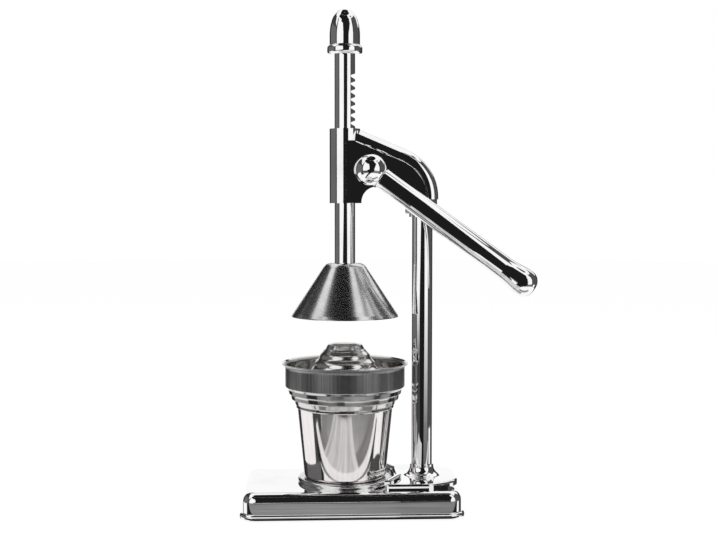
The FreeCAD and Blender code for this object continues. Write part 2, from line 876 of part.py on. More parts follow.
def pressCone():
    wall = d.coneWall
    slope = tangent(d.coneSlope)
    flareZ = d.coneLip + d.coneLipHeight
    flareRadius = d.coneShoulder + (d.rodBottom - flareZ) * slope
    inside = d.coneShoulder - wall * 0.8
    turned("press_cone", [
        (d.spigotRadius + d.pressFit, d.rodBottom),
        (d.coneShoulder, d.rodBottom, d.coneRound),
        (flareRadius, flareZ, 6),
        (d.coneLipRadius, d.coneLip + 0.8),
        (d.coneLipRadius, d.coneLip),
        (d.coneLipRadius - 1.2, d.coneLip),
        (flareRadius - wall * 1.2, flareZ - 0.4, 4),
        (inside, coneThroat - 1.5, 3),
        (inside - 2, coneThroat),
        (d.spigotRadius + d.pressFit, coneThroat),
    ], x=rodX)
    washerTop = coneThroat
    washerLow = coneThroat - d.coneWasherThick
    turned("cone_washer", [
        (d.coneScrewRadius + d.holeFit, washerLow),
        (d.coneWasherRadius, washerLow),
        (d.coneWasherRadius, washerTop),
        (d.coneScrewRadius + d.holeFit, washerTop),
    ], x=rodX)
    screw = turned("cone_screw", [
        (0, washerLow - 1.6),
        (d.coneScrewHead - 0.8, washerLow - 1.6, 0.4),
        (d.coneScrewHead, washerLow, 0.4),
        (d.coneScrewRadius, washerLow),
        (d.coneScrewRadius, washerLow + d.coneScrewDepth),
        (0, washerLow + d.coneScrewDepth),
    ], x=rodX)
    drive = newSketch(screw, "XY_Plane", washerLow - 1.6)
    hexagon(drive, d.coneScrewRadius)
    pocket(screw, drive, 1, flip=True)


def headCasting():
    body = newBody("head_casting")
    # The rounded bead runs along the top of the arm and down to the post
    slope = (d.armStart - d.armTop) / (d.armTopX - d.armStartX)
    cornerZ = d.armTop - (d.armRight - d.armTopX) * slope
    under = d.beadWidth + 0.8
    inner = d.armRight - d.beadWidth - 3.4
    innerZ = cornerZ - under + (d.armRight - inner) * slope
    arm = newSketch(body, "XZ_Plane")
    outline(arm, [
        (d.armStartX, d.armStart - under),
        (d.armStartX, d.armStart),
        (d.armRight, cornerZ, d.armBend),
        (d.armRight, d.socketTop - 8),
        (inner, d.socketTop - 8),
        (inner, innerZ, d.armBend - d.beadWidth),
    ])
    pad(body, arm, 2 * d.beadHalf, both=True)
    ends = (d.armStartX.value, d.socketTop.value - 8)

    def longEdge(edge):
        box = edge.BoundBox
        onSide = abs(abs(box.YMax) - d.beadHalf.value) < 1e-3 and box.YLength < 1e-3
        atEnd = box.XMax < ends[0] + 1e-3 or box.ZMax < ends[1] + 1e-3
        return onSide and not atEnd

    roundEdges(body, d.beadCurl, longEdge)
    # The two cheeks start as one web, from the sleeve to the post
    underBead = d.armStart - 3
    web = newSketch(body, "XZ_Plane")
    outline(web, [
        (rodX, d.sleeveBottom),
        (d.webCutX, d.sleeveBottom),
        (d.webCutX, d.webLow, d.webCut),
        (d.postX - d.socketRadius - 2, d.webLow, 10),
        (d.postX - d.socketRadius + 1, d.webHeel, 6),
        (d.postX, d.webHeel),
        (d.armRight - 4, d.webHeel),
        (d.armRight - 4, underBead - (d.armRight - 4 - d.armStartX) * slope, d.armBend - 4),
        (d.armStartX, underBead),
        (rodX, underBead),
    ])
    pad(body, web, 2 * d.webHalf, both=True)
    # Guide sleeve of the rod, and socket of the post
    sleeve = newSketch(body, "XY_Plane", d.sleeveBottom)
    circle(sleeve, rodX, 0, d.sleeveRadius)
    pad(body, sleeve, d.sleeveTop - d.sleeveBottom)
    socket = newSketch(body, "XY_Plane", d.socketBottom)
    circle(socket, d.postX, 0, d.socketRadius)
    pad(body, socket, d.socketTop - d.socketBottom)
    # Round bosses for the shaft bushes on both cheeks
    boss = newSketch(body, "XZ_Plane")
    circle(boss, pinionX, d.pinionZ, d.bossRadius)
    pad(body, boss, 2 * d.bossFace, both=True)
    # Small boss of the lower set screw on the cup side of the socket
    nub = newSketch(body, "YZ_Plane", d.postX - d.socketRadius - (d.nubReach - d.socketRadius))
    circle(nub, 0, d.nubZ, d.nubRadius)
    pad(body, nub, d.nubReach - d.postRadius - 1)
    # Bores, then the slot in which the pinion turns
    bore = newSketch(body, "XY_Plane", d.sleeveTop + 1)
    circle(bore, rodX, 0, d.rodRadius + d.runFit)
    pocket(body, bore, d.sleeveTop - d.sleeveBottom + 2)
    bore = newSketch(body, "XY_Plane", d.socketBottom)
    circle(bore, d.postX, 0, d.postRadius + d.pressFit)
    pocket(body, bore, d.socketDepth, flip=True)
    slot = newSketch(body, "XZ_Plane")
    circle(slot, pinionX, d.pinionZ, d.slotReach)
    pocket(body, slot, 2 * d.slotHalf, both=True)
    channel = newSketch(body, "XZ_Plane")
    alongX = sine(d.slotLean)
    alongZ = -cosine(d.slotLean)
    sideX = cosine(d.slotLean) * d.slotReach
    sideZ = sine(d.slotLean) * d.slotReach
    outline(channel, [
        (pinionX - sideX, d.pinionZ - sideZ),
        (pinionX - sideX + alongX * d.slotDrop, d.pinionZ - sideZ + alongZ * d.slotDrop),
        (pinionX + sideX + alongX * d.slotDrop, d.pinionZ + sideZ + alongZ * d.slotDrop),
        (pinionX + sideX, d.pinionZ + sideZ),
    ])
    pocket(body, channel, 2 * d.slotHalf, both=True)
    cross = newSketch(body, "XZ_Plane")
    circle(cross, pinionX, d.pinionZ, d.bushRadius + d.pressFit)
    pocket(body, cross, 2 * d.bossFace + 2, both=True)
    screwHole = newSketch(body, "YZ_Plane", d.postX - d.nubReach - 1)
    circle(screwHole, 0, d.nubZ, d.grubRadius + d.pressFit)
    pocket(body, screwHole, d.nubReach, flip=True)


def headSetScrew():
    turn = Rotation(Vector(0, 1, 0), 90)
    reach = d.postRadius + d.pressFit
    body = turned("head_set_screw", [
        (0, 0),
        (d.grubRadius - 0.5, 0),
        (d.grubRadius, 0.5),
        (d.grubRadius, d.grubLength),
        (0, d.grubLength),
    ], x=d.postX - reach - d.grubLength, z=d.nubZ, turn=turn)
    drive = newSketch(body, "XY_Plane")
    hexagon(drive, d.grubRadius)
    pocket(body, drive, 2, flip=True)


# Frame of the shaft group: its own Z points to the front, its Y up
SHAFT_TURN = Rotation(Vector(1, 0, 0), 90)
leverTurn = Rotation(Vector(0, 1, 0), 90 + d.leverAngle.value)
hubPinTurn = Rotation(Vector(0, 1, 0), d.leverAngle.value)


# A turned piece on the pinion shaft; heights run from the middle plane to the front
def onShaft(label, corners):
    return turned(label, corners, x=pinionX, z=d.pinionZ, turn=SHAFT_TURN)


def bushes():
    bore = d.shaftRadius + d.runFit
    for label, side in (("front_shaft_bush", 1), ("back_shaft_bush", -1)):
        onShaft(label, [
            (bore, side * (d.slotHalf - d.bushFlangeThick)),
            (d.bushFlange, side * (d.slotHalf - d.bushFlangeThick)),
            (d.bushFlange, side * d.slotHalf),
            (d.bushRadius, side * d.slotHalf),
            (d.bushRadius, side * d.bossFace),
            (bore, side * d.bossFace),
        ])


# Half angle of the pinion's tooth space at a radius, with an involute flank
def spaceAngle(radius, pitchRadius, teeth, pressure, backlash):
    baseRadius = pitchRadius * math.cos(pressure)
    bent = math.acos(min(1, baseRadius / radius))
    atPitch = math.pi / (2 * teeth) - backlash / (2 * pitchRadius)
    swell = math.tan(pressure) - pressure - (math.tan(bent) - bent)
    return math.pi / teeth - atPitch - swell


def pinion():
    body = newBody("pinion", x=pinionX, z=d.pinionZ, turn=SHAFT_TURN)
    tipRadius = pinionPitchRadius + d.pinionAddendum
    blank = newSketch(body, "XY_Plane")
    circle(blank, 0, 0, tipRadius)
    circle(blank, 0, 0, d.shaftRadius + d.pressFit)
    pad(body, blank, 2 * d.pinionHalf, both=True)
    pitchRadius = pinionPitchRadius.value
    pressure = math.radians(d.pressureAngle.value)
    baseRadius = pitchRadius * math.cos(pressure)
    rootRadius = pitchRadius - d.rackAddendum.value - d.toothClearance.value
    teeth = d.pinionTeeth.value

    def flankPoint(radius, side):
        angle = side * spaceAngle(radius, pitchRadius, teeth, pressure, d.backlash.value)
        return Vector(radius * math.cos(angle), radius * math.sin(angle), 0)

    outerRadius = tipRadius.value + 0.5
    radii = [outerRadius, tipRadius.value, pitchRadius, (pitchRadius + baseRadius) / 2, baseRadius]
    rootAngle = spaceAngle(baseRadius, pitchRadius, teeth, pressure, d.backlash.value)
    rootX = rootRadius * math.cos(rootAngle)
    rootY = rootRadius * math.sin(rootAngle)
    lower = [flankPoint(radius, -1) for radius in radii]
    upper = [flankPoint(radius, 1) for radius in reversed(radii)]
    corners = [(p.x, p.y) for p in lower]
    corners += [(rootX, -rootY, 0.5), (rootX, rootY, 0.5)]
    corners += [(p.x, p.y) for p in upper]
    space = newSketch(body, "XY_Plane")
    outline(space, corners)
    cut = pocket(body, space, 2 * d.pinionHalf + 1, both=True)
    polarPattern(body, cut, d.pinionTeeth, space)
    doc.recompute()
    crossHole(body, 0, -d.pinionPinReach - 0.2, tipRadius + 1)


def crossHole(body, height, near, far, lean=0):
    hole = newSketch(body, "YZ_Plane", near, lean)
    circle(hole, 0, height, d.pinRadius + d.pressFit)
    pocket(body, hole, far - near, flip=True)


def pinionShaft():
    endInBall = d.ballY + d.shaftInBall
    back = -(d.bossFace + d.looseFit)
    tail = back - d.shaftWasherThick - d.shaftNutThick
    shaft = onShaft("pinion_shaft", [
        (0, tail),
        (d.shaftStudRadius, tail),
        (d.shaftStudRadius, back),
        (d.shaftRadius, back),
        (d.shaftRadius, endInBall - 0.6),
        (d.shaftRadius - 0.6, endInBall),
        (0, endInBall),
    ])
    crossHole(shaft, 0, -d.shaftRadius - 1, d.shaftRadius + 1)
    crossHole(shaft, d.ballY, -d.shaftRadius - 1, d.shaftRadius + 1, hubPinLean)
    onShaft("shaft_washer", [
        (d.shaftStudRadius + d.holeFit, back - d.shaftWasherThick),
        (d.shaftWasherRadius, back - d.shaftWasherThick),
        (d.shaftWasherRadius, back),
        (d.shaftStudRadius + d.holeFit, back),
    ])
    nut = newBody("shaft_nut", x=pinionX, z=d.pinionZ, turn=SHAFT_TURN)
    front = back - d.shaftWasherThick
    hexes = newSketch(nut, "XY_Plane", front)
    hexagon(hexes, d.shaftNutFlats)
    pad(nut, hexes, d.shaftNutThick, flip=True)
    dome = newSketch(nut, "XZ_Plane")
    top = front - d.shaftNutThick
    outline(dome, [
        (0, top),
        (d.shaftNutFlats / 2 - 0.4, top),
        (d.shaftNutFlats / 2 - 0.4, top - d.shaftNutDome, d.shaftNutDome - 0.3),
        (0, top - d.shaftNutDome),
    ])
    revolve(nut, dome)
    bore = newSketch(nut, "XY_Plane", front)
    circle(bore, 0, 0, d.shaftStudRadius + d.pressFit)
    pocket(nut, bore, d.shaftNutThick + 0.5)


# A round pin of a primitive cylinder, from one height to another along a turned axis
def barBetween(label, radius, low, high, centre, turn):
    bar = doc.addObject("Part::Cylinder", label)
    bind(bar, "Radius", asSize(radius))
    bind(bar, "Height", high - low)
    start = Vector(*[asSize(c).value for c in centre]) + turn.multVec(Vector(0, 0, asSize(low).value))
    bar.Placement = Placement(start, turn)
    return bar


def cutAll(label, base, tools):
    for i, tool in enumerate(tools):
        cut = doc.addObject("Part::Cut", f"{label}Cut{i}")
        cut.Base = base
        cut.Tool = tool
        base = cut
    base.Label = label
    parts.append(base)
    return base


def hubAndLever():
    shaftX = pinionX - frameX
    centre = (shaftX, -d.ballY, d.pinionZ)
    ball = doc.addObject("Part::Sphere", "Ball")
    bind(ball, "Radius", d.ballRadius)
    ball.Placement = Placement(Vector(0, 0, 0), SHAFT_TURN)
    for axis, size in zip("xyz", centre):
        ball.setExpression(f".Placement.Base.{axis}", asSize(size).text)
    behind = d.ballY - d.bossFace - d.looseFit
    collar = barBetween("BallCollar", d.hubCollarRadius, -behind, asSize(0), centre, SHAFT_TURN)
    solid = doc.addObject("Part::Fuse", "BallWithCollar")
    solid.Base = ball
    solid.Tool = collar
    boreRadius = d.shaftRadius + d.pressFit
    bore = barBetween("BallBore", boreRadius, -behind - 1, d.shaftInBall, centre, SHAFT_TURN)
    above = d.ballRadius + 2
    seat = barBetween("BallSeat", d.ballRadius, d.leverStart, above, centre, leverTurn)
    tapRadius = d.leverStudRadius + d.pressFit
    tap = barBetween("BallTap", tapRadius, d.leverStudIn - d.looseFit, above, centre, leverTurn)
    holeRadius = d.pinRadius + d.pressFit
    pinHole = barBetween("BallPinHole", holeRadius, -above, d.hubPinReach, centre, hubPinTurn)
    cutAll("ball_hub", solid, [bore, seat, tap, pinHole])
    pinLow = 1 - d.ballRadius
    parts.append(barBetween("hub_pin", d.pinRadius, pinLow, d.hubPinReach - 0.2, centre, hubPinTurn))
    studEnds = (d.leverStudIn, d.leverStudOut)
    parts.append(barBetween("lever_stud", d.leverStudRadius, *studEnds, centre, leverTurn))
    pinCentre = (shaftX, 0, d.pinionZ)
    sideways = Rotation(Vector(0, 1, 0), 90)
    reach = pinionPitchRadius - d.rackAddendum - d.toothClearance
    pinionPin = barBetween("pinion_pin", d.pinRadius, -d.pinionPinReach, reach - 0.4, pinCentre, sideways)
    parts.append(pinionPin)
    tapEnd = d.leverStudOut + 1
    turned("lever_handle", [
        (tapRadius, d.leverStart),
        (d.leverNeck - 0.8, d.leverStart),
        (d.leverNeck, d.leverStart + 0.8),
        (d.leverEnd, d.leverEndAt, d.leverFlareRound),
        (d.leverBulb, d.leverBulbAt, d.leverBulbRound),
        (d.leverBulb, d.leverLength, d.leverTipRound),
        (0, d.leverLength),
        (0, tapEnd),
        (tapRadius, tapEnd),
    ], x=pinionX, y=-d.ballY, z=d.pinionZ, turn=leverTurn)


def build():
    baseShell()
    baseFeet()
    footFlange()
    post()
    flangeScrews()
    cupRest()
    cup()
    strainerBowl()
    reamerCone()
    rackRod()
    topCap()
    pressCone()
    headCasting()
    headSetScrew()
    bushes()
    pinion()
    pinionShaft()
    hubAndLever()


# Every feature has to have worked before anything is written
def checkModel():
    doc.recompute()
    failed = [o.Name for o in doc.Objects if "Invalid" in o.State or "Error" in o.State]
    if failed:
        raise RuntimeError(f"these features failed: {failed}")
    for part in parts:
        shape = part.Shape
        if shape.isNull() or not shape.isValid():
            raise RuntimeError(f"{part.Label} has no valid shape")
        size = shape.BoundBox
        print(f"{part.Label:18} solids {len(shape.Solids)} faces {len(shape.Faces):4}"
              f" X {size.XMin:7.1f} {size.XMax:7.1f} Y {size.YMin:6.1f} {size.YMax:6.1f}"
              f" Z {size.ZMin:6.1f} {size.ZMax:6.1f}")


def write():
    os.makedirs("parts", exist_ok=True)
    for part in parts:
        part.Shape.exportStep(f"parts/{part.Label}.step")


build()
checkModel()
write()
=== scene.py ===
import json
import math
import bpy
import mathutils
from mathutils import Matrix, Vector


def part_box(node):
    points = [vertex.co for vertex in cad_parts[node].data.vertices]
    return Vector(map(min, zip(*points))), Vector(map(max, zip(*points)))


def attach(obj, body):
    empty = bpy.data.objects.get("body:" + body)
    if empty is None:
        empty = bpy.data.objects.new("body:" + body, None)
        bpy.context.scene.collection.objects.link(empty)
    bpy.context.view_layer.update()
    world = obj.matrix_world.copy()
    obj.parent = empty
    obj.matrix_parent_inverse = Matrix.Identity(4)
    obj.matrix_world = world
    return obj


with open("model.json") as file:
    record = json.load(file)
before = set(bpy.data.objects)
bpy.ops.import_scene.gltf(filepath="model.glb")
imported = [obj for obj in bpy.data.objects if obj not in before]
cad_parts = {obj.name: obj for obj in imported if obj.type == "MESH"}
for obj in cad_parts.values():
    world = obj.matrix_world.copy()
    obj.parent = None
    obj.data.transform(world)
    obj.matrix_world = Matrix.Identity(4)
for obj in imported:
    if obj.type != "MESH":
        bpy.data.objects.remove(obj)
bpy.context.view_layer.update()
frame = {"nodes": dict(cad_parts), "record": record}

# Lever citrus juice press: the solids come from the frame, this file gives them their metals,
# the studio that the metals mirror, and the camera.


# A socket in an expression: each operator adds the Math node that it stands for
class Sock:
    def __init__(self, graph, socket):
        self.graph = graph
        self.socket = socket

    def maths(self, operation, first, second):
        return self.graph.node("ShaderNodeMath", {"operation": operation}, {0: first, 1: second})

    def __add__(self, other):
        return self.maths("ADD", self, other)

    def __radd__(self, other):
        return self.maths("ADD", other, self)

    def __sub__(self, other):
        return self.maths("SUBTRACT", self, other)

    def __rsub__(self, other):
        return self.maths("SUBTRACT", other, self)

    def __mul__(self, other):
        return self.maths("MULTIPLY", self, other)

    def __rmul__(self, other):
        return self.maths("MULTIPLY", other, self)

    def top(self, other):
        return self.maths("MAXIMUM", self, other)


# The nodes of one material or of the world
class Graph:
    def __init__(self, owner):
        owner.use_nodes = True
        self.owner = owner
        self.tree = owner.node_tree
        self.tree.nodes.clear()

    # Every node: its type, its settings, then its sockets by name or number
    def node(self, kind, settings=None, sockets=None, out=0):
        node = self.tree.nodes.new(kind)
        for key, value in (settings or {}).items():
            setattr(node, key, value)
        for key, value in (sockets or {}).items():
            if isinstance(value, Sock):
                self.tree.links.new(value.socket, node.inputs[key])
            else:
                node.inputs[key].default_value = value
        return Sock(self, node.outputs[out] if node.outputs else None)

    def noise(self, where, scale, detail=3, rough=0.5):
        sockets = {"Vector": where, "Scale": scale, "Detail": detail, "Roughness": rough}
        return self.node("ShaderNodeTexNoise", {}, sockets)

    def place(self):
        return self.node("ShaderNodeTexCoord", out="Object")

    def stretched(self, scale):
        return self.node("ShaderNodeMapping", {}, {"Vector": self.place(), "Scale": scale})

    def spread(self, value, low, high):
        return self.node("ShaderNodeMapRange", {"clamp": True}, {0: value, 1: low, 2: high, 3: 0, 4: 1})

    def mixed(self, factor, first, second):
        return self.node("ShaderNodeMix", {"data_type": "RGBA"}, {0: factor, 6: first, 7: second}, out=2)

    def bump(self, height, strength, distance):
        return self.node("ShaderNodeBump", {}, {"Height": height, "Strength": strength, "Distance": distance})

    def height(self):
        return self.node("ShaderNodeSeparateXYZ", {}, {"Vector": self.place()}, out="Z")

    def glow(self, colour, strength=1):
        return self.node("ShaderNodeEmission", {}, {"Color": colour, "Strength": strength})

    # The last node of a material
    def output(self, shader):
        self.node("ShaderNodeOutputMaterial", {}, {"Surface": shader})
        return self.owner

    def surface(self, sockets):
        return self.output(self.node("ShaderNodeBsdfPrincipled", {}, sockets))


def newGraph(name):
    return Graph(bpy.data.materials.new(name))


def opaque(colour):
    return (*colour, 1)


def grey(shade):
    return (shade, shade, shade, 1)


# Plated chrome: a mirror with faint smears of wiping and finger grease
chromeLook = {
    "clean": (0.94, 0.94, 0.945),
    "smeared": (0.87, 0.87, 0.88),
    "rough": 0.02,
    "smearRough": 0.05,
    "smearSize": 24,
    "smearRange": (0.48, 0.75),
    "orangePeel": 260,
    "relief": 0.03,
    "depth": 0.0002,
}


def chromeFinish(look):
    graph = newGraph("chromePlate")
    smear = graph.spread(graph.noise(graph.place(), look["smearSize"], 5, 0.6), *look["smearRange"])
    peel = graph.noise(graph.place(), look["orangePeel"], 2)
    return graph.surface({
        "Base Color": graph.mixed(smear, opaque(look["clean"]), opaque(look["smeared"])),
        "Metallic": 1,
        "Roughness": look["rough"] + smear * look["smearRough"],
        "Normal": graph.bump(peel, look["relief"], look["depth"]),
    })


# The other metals: grain is the brushing, drawn out along the axis whose number is small
steelLooks = {
    "polishedSteel": {"light": (0.92, 0.89, 0.885), "dark": (0.8, 0.77, 0.76), "rough": 0.08, "vary": 0.06,
                      "grain": (420, 420, 8), "relief": 0.03},
    "satinSteel": {"light": (0.8, 0.8, 0.8), "dark": (0.66, 0.66, 0.66), "rough": 0.2, "vary": 0.06,
                   "grain": (90, 90, 260), "relief": 0.004},
    "brushedSteel": {"light": (0.5, 0.5, 0.5), "dark": (0.26, 0.26, 0.26), "rough": 0.27, "vary": 0.14,
                     "grain": (520, 520, 12), "relief": 0.06},
    "screwSteel": {"light": (0.62, 0.62, 0.6), "dark": (0.42, 0.42, 0.41), "rough": 0.3, "vary": 0.1,
                   "grain": (260, 260, 260), "relief": 0.1},
    "gearSteel": {"light": (0.5, 0.5, 0.5), "dark": (0.3, 0.3, 0.3), "rough": 0.3, "vary": 0.1,
                  "grain": (260, 260, 260), "relief": 0.12},
    "bushBrass": {"light": (0.8, 0.6, 0.3), "dark": (0.56, 0.4, 0.18), "rough": 0.28, "vary": 0.1,
                  "grain": (260, 260, 260), "relief": 0.08},
}
reamerLook = {"light": (0.9, 0.88, 0.87), "dark": (0.76, 0.74, 0.73), "rough": 0.2, "vary": 0.08,
              "grain": (60, 60, 420), "relief": 0.01}
restLook = {"light": (0.86, 0.86, 0.86), "dark": (0.74, 0.74, 0.74), "rough": 0.2, "vary": 0.1,
            "grain": (260, 260, 260), "relief": 0.03}
# What all of these share
steelBase = {"cloudSize": 34, "grainShare": 0.6, "shadeRange": (0.35, 0.65), "depth": 0.0003}


def steelFinish(name, look, base):
    graph = newGraph(name)
    grain = graph.noise(graph.stretched(look["grain"]), 1, 4, 0.6)
    cloud = graph.noise(graph.place(), base["cloudSize"], 4, 0.6)
    blend = grain * base["grainShare"] + cloud * (1 - base["grainShare"])
    shade = graph.spread(blend, *base["shadeRange"])
    return graph.surface({
        "Base Color": graph.mixed(shade, opaque(look["dark"]), opaque(look["light"])),
        "Metallic": 1,
        "Roughness": look["rough"] + (0.5 - grain) * look["vary"],
        "Normal": graph.bump(grain, look["relief"], base["depth"]),
    })


# The bowl: its upright band is brushed from top to bottom, its inside and rim are polished, and its steps
# are polished with dark bands of painted reflection over them. Each set of heights is where a zone begins, is
# full, begins to end and ends
bowlLook = {
    "bandLight": (0.4, 0.4, 0.4),
    "bandDark": (0.2, 0.2, 0.2),
    "polished": (0.72, 0.71, 0.7),
    "bandRough": 0.3,
    "polishedRough": 0.08,
    "cloudRough": 0.06,
    "cloudSize": 30,
    "streakShare": 0.7,
    "bandRange": (0.36, 0.64),
    "bandHeights": (0.1126, 0.1134, 0.1330, 0.1337),
    "bandRadii": (0.0541, 0.0544),
    "streaks": (700, 700, 10),
    "relief": 0.06,
    "depth": 0.0003,
    # the colour, heights and strength of the painted reflection: dark bands on the steps
    "stepPaintedReflection": (0.16, 0.16, 0.16),
    "paintedReflectionHeights": [(0.1066, 0.1071, 0.1106, 0.1111), (0.1016, 0.102, 0.1045, 0.1049)],
    "paintedReflectionLeast": 0.55,
    "paintedReflectionVary": 0.6,
}


def bowlFinish(look):
    graph = newGraph("bowlSteel")
    low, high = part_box("strainer_bowl")
    axis = ((low[0] + high[0]) / 2, 0, 0)
    flat = graph.node("ShaderNodeVectorMath", {"operation": "SUBTRACT"}, {0: graph.place(), 1: axis})
    flat = graph.node("ShaderNodeVectorMath", {"operation": "MULTIPLY"}, {0: flat, 1: (1, 1, 0)})
    radius = graph.node("ShaderNodeVectorMath", {"operation": "LENGTH"}, {0: flat}, out="Value")
    height = graph.height()

    def zone(foot, start, end, rim):
        return graph.spread(height, foot, start) * (1 - graph.spread(height, end, rim))

    band = zone(*look["bandHeights"]) * graph.spread(radius, *look["bandRadii"])
    streak = graph.noise(graph.stretched(look["streaks"]), 1, 4, 0.6)
    cloud = graph.noise(graph.place(), look["cloudSize"], 4, 0.6)
    blend = streak * look["streakShare"] + cloud * (1 - look["streakShare"])
    brushed = graph.mixed(graph.spread(blend, *look["bandRange"]),
                          opaque(look["bandDark"]), opaque(look["bandLight"]))
    # Painted reflection: dark bands on the steps, mixed over the polish by height
    steps = sum(zone(*heights) for heights in look["paintedReflectionHeights"])
    steps = steps * (look["paintedReflectionLeast"] + cloud * look["paintedReflectionVary"])
    polished = graph.mixed(steps, opaque(look["polished"]), opaque(look["stepPaintedReflection"]))
    rough = look["polishedRough"] + band * (look["bandRough"] - look["polishedRough"])
    return graph.surface({
        "Base Color": graph.mixed(band, polished, brushed),
        "Metallic": 1,
        "Roughness": rough + cloud * look["cloudRough"],
        "Normal": graph.bump(streak * band, look["relief"], look["depth"]),
    })


rubberLook = {"dark": (0.012, 0.012, 0.012), "dusty": (0.04, 0.04, 0.038), "rough": 0.55, "vary": 0.2,
              "grain": 800, "relief": 0.25, "depth": 0.0003}


def rubberFinish(look):
    graph = newGraph("footRubber")
    grain = graph.noise(graph.place(), look["grain"], 4)
    return graph.surface({
        "Base Color": graph.mixed(grain, opaque(look["dark"]), opaque(look["dusty"])),
        "Roughness": look["rough"] + grain * look["vary"],
        "Normal": graph.bump(grain, look["relief"], look["depth"]),
    })


finishes = {"chrome": chromeFinish(chromeLook), "rubber": rubberFinish(rubberLook)}
for name, look in steelLooks.items():
    slotName = name.replace("S", "_s").replace("B", "_b")
    finishes[slotName] = steelFinish(name, look, steelBase)
ownFinishes = {"strainer_bowl": bowlFinish(bowlLook),
               "cup_rest": steelFinish("restSteel", restLook, steelBase),
               "reamer_cone": steelFinish("reamerSteel", reamerLook, steelBase)}
print("finishes:", ", ".join(finishes))

for part in frame["record"]["subparts"]:
    for slot in frame["nodes"][part["node"]].material_slots:
        slot.material = ownFinishes.get(part["node"]) or finishes[part["material_slot"]]
print("finished nodes:", len(frame["nodes"]))


def newObject(name, points, faces, material):
    mesh = bpy.data.meshes.new(name)
    mesh.from_pydata(points, [], faces)
    mesh.materials.append(material)
    thing = bpy.data.objects.new(name, mesh)
    bpy.context.scene.collection.objects.link(thing)
    return thing


# Put a piece on the body and make its faces smooth or flat
def fit(piece, body, smooth=True):
    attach(piece, body)
    for face in piece.data.polygons:
        face.use_smooth = smooth


# A point of the dressing: millimetres from the rod's line to metres
def placed(rodX, x, y, z):
    return ((rodX + x) / 1000, y / 1000, z / 1000)


# Faces between two rows of points, the first of which starts at low
def between(low, size, closed=True):
    faces = []
    for i in range(size if closed else size - 1):
        after = (i + 1) % size
        faces.append([low + i, low + after, low + size + after, low + size + i])
    return faces


# Points along corners (x, z) or (x, z, radius): the rounded corners become arcs
def roundedLine(corners, closed, steps=14):
    count = len(corners)
    points = []
    for i, corner in enumerate(corners):
        here = mathutils.Vector(corner[:2])
        if len(corner) == 2 or (not closed and i in (0, count - 1)):
            points.append(here)
            continue
        back = (mathutils.Vector(corners[i - 1][:2]) - here).normalized()
        ahead = (mathutils.Vector(corners[(i + 1) % count][:2]) - here).normalized()
        half = back.angle(ahead) / 2
        middle = here + (back + ahead).normalized() * corner[2] / math.sin(half)
        first = here + back * corner[2] / math.tan(half) - middle
        last = here + ahead * corner[2] / math.tan(half) - middle
        turn = math.copysign(math.pi - 2 * half, first.cross(last))
        for step in range(steps + 1):
            part = turn * step / steps
            cosine, sine = math.cos(part), math.sin(part)
            points.append(middle + mathutils.Vector((first.x * cosine - first.y * sine,
                                                     first.x * sine + first.y * cosine)))
    return points


# The head's dressing, millimetres from the rod's line: the cast cheeks stand almost flush with the
# sleeve, and a full round bead runs over the arm and down to the post
headLook = {
    "cheekFace": 14.3,
    "cheekBack": 10.7,
    "cheek": [(0.5, 280.6), (14.5, 280.6), (14.6, 295.5, 14), (55.4, 295.5, 10), (58.4, 284.1, 6),
              (80, 284.1), (80, 318, 40), (14.5, 337), (0.5, 337)],
    "cheekSoft": 0.6,
    "bead": [(10.6, 339.3), (76.9, 311.3, 38.5), (76.9, 284)],
    "beadHalf": 8,
    "beadReach": 15.2,
}


def addCheeks(look, rodX):
    outline = roundedLine(look["cheek"], True)
    points = []
    faces = []
    for side in (-1, 1):
        start = len(points)
        for depth in (look["cheekBack"], look["cheekFace"]):
            points += [placed(rodX, p.x, side * depth, p.y) for p in outline]
        count = len(outline)
        faces.append([start + i for i in range(count)])
        faces.append([start + 2 * count - 1 - i for i in range(count)])
        faces += between(start, count)
    piece = newObject("cheekPlates", points, faces, finishes["chrome"])
    soften = piece.modifiers.new("soften", "BEVEL")
    soften.width = look["cheekSoft"] / 1000
    soften.segments = 3
    soften.limit_method = "ANGLE"
    fit(piece, "root", smooth=False)


def addBead(look, rodX):
    path = roundedLine(look["bead"], False, 24)
    half, reach = look["beadHalf"], look["beadReach"]
    around = 32
    points = []
    faces = []
    for side in (-1, 1):
        section = []  # across the arm and along Y: a half round, so that nothing stands in the rack's slot
        for step in range(around + 1):
            turn = math.pi * step / around
            section.append((half * math.cos(turn), side * (reach - half + half * math.sin(turn))))
        size = len(section)
        start = len(points)
        for i, here in enumerate(path):
            ahead = (path[min(i + 1, len(path) - 1)] - path[max(i - 1, 0)]).normalized()
            outward = mathutils.Vector((-ahead.y, ahead.x))
            for across, along in section:
                place = here + outward * across
                points.append(placed(rodX, place.x, along, place.y))
            if i:
                faces += between(start + (i - 1) * size, size, closed=False)
        # the two ends and the flat back get corners of their own, so that their edges stay sharp
        rows = range(start, len(points), size)
        flat = [points[corner] for row in rows for corner in (row, row + size - 1)]
        for ring in (points[start:start + size], points[-size:]):
            faces.append([len(points) + j for j in range(size)])
            points += ring
        for low in range(len(points), len(points) + len(flat) - 2, 2):
            faces.append([low, low + 1, low + 3, low + 2])
        points += flat
    fit(newObject("armBead", points, faces, finishes["chrome"]), "root")


# The reamer's cone is pressed into rounded rings: a thin ringed skin over the plain cone, in millimetres
ringLook = {"foot": 128.6, "head": 145.8, "footRadius": 30.1, "headRadius": 19.25, "pitch": 7.2, "swell": 0.9,
            "lift": 0.15}


